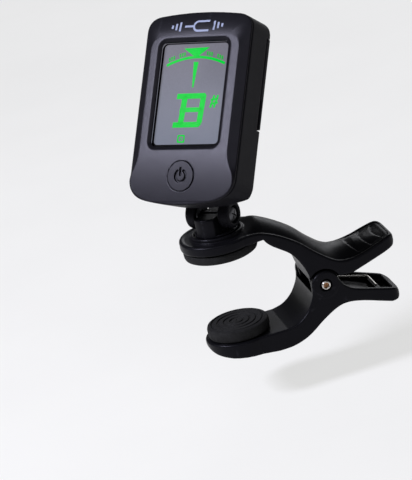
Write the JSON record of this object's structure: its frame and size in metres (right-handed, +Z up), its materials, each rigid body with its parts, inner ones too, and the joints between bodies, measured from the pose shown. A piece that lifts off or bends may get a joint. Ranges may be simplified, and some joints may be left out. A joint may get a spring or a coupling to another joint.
{
  "type": "clip-on instrument tuner",
  "caption": "Clip-on instrument tuner: lit display head with a round button, on a tilting and swivelling neck over a sprung two-arm clip with rubber-faced jaws.",
  "frame": {"origin": "middle of the upper jaw pad's contact face", "axes": "+Z up along the swivel axis, away from the headstock; +X from the jaws towards the handles; Y across the clip"},
  "size_m": [0.0594, 0.0413, 0.0816],
  "materials": {
    "clip_plastic": "satin black ABS, fine even sheen",
    "case_plastic": "matte black-grey ABS with a fine spark-eroded texture",
    "pad_rubber": "dull black rubber",
    "bright_steel": "nickel-plated steel",
    "dark_steel": "black oxide steel",
    "window": "clear polished acrylic",
    "lcd": "LCD glass, light grey-lilac",
    "white_plastic": "milky light guide",
    "ceramic": "LED package",
    "zebra": "pink silicone connector strip",
    "solder_mask": "green circuit board",
    "chip_black": "moulded chip package",
    "crystal_can": "tin-plated can",
    "switch_body": "switch with a metal cover",
    "piezo_brass": "brass plate with a ceramic disc",
    "cell_steel": "stamped stainless steel",
    "contact_metal": "plated phosphor bronze"
  },
  "bodies": {
    "clip": {"upper_arm": "clip_plastic", "upper_pad": "pad_rubber", "pivot_rivet": "bright_steel", "torsion_spring": "bright_steel"},
    "lower_jaw": {"lower_arm": "clip_plastic", "lower_pad": "pad_rubber"},
    "neck": {"swivel_post": "clip_plastic", "swivel_screw": "bright_steel", "swivel_washer": "bright_steel", "friction_washer_left": "dark_steel", "friction_washer_right": "dark_steel"},
    "head": {"front_shell": "case_plastic", "rear_shell": "case_plastic", "display_window": "window", "lcd_panel": "lcd", "light_guide": "white_plastic", "backlight_led": "ceramic", "zebra_strip": "zebra", "circuit_board": "solder_mask", "controller_chip": "chip_black", "quartz_crystal": "crystal_can", "tact_switch": "switch_body", "piezo_disc": "piezo_brass", "coin_cell": "cell_steel", "negative_contact": "contact_metal", "positive_clip": "contact_metal", "case_screw_1": "dark_steel", "case_screw_2": "dark_steel", "case_screw_3": "dark_steel", "case_screw_4": "dark_steel", "tilt_screw": "bright_steel", "tilt_nut": "bright_steel"},
    "button": {"power_button": "case_plastic"},
    "door": {"battery_door": "case_plastic"}
  },
  "joints": [
    {"name": "clamp", "type": "hinge", "parent": "clip", "child": "lower_jaw", "pos_m": [0.0217, 0, -0.0127], "axis": [0, -1, 0], "range_deg": [-34, 22], "stiffness_Nm_per_rad": 0.16, "deforming": ["torsion_spring"]},
    {"name": "head_swivel", "type": "hinge", "parent": "clip", "child": "neck", "pos_m": [0, 0, 0.0098], "axis": [0, 0, 1], "continuous": true},
    {"name": "head_tilt", "type": "hinge", "parent": "neck", "child": "head", "pos_m": [0, 0, 0.0098], "axis": [-0.7193, 0.6947, 0], "range_deg": [-48, 54]},
    {"name": "power_press", "type": "slide", "parent": "head", "child": "button", "axis": [0.5655, 0.5856, -0.5807], "range_m": [0, 0.0005], "stiffness_N_per_m": 2500},
    {"name": "door_release", "type": "slide", "parent": "head", "child": "door", "axis": [0.5655, 0.5856, -0.5807], "range_m": [0, 0.005]}
  ]
}
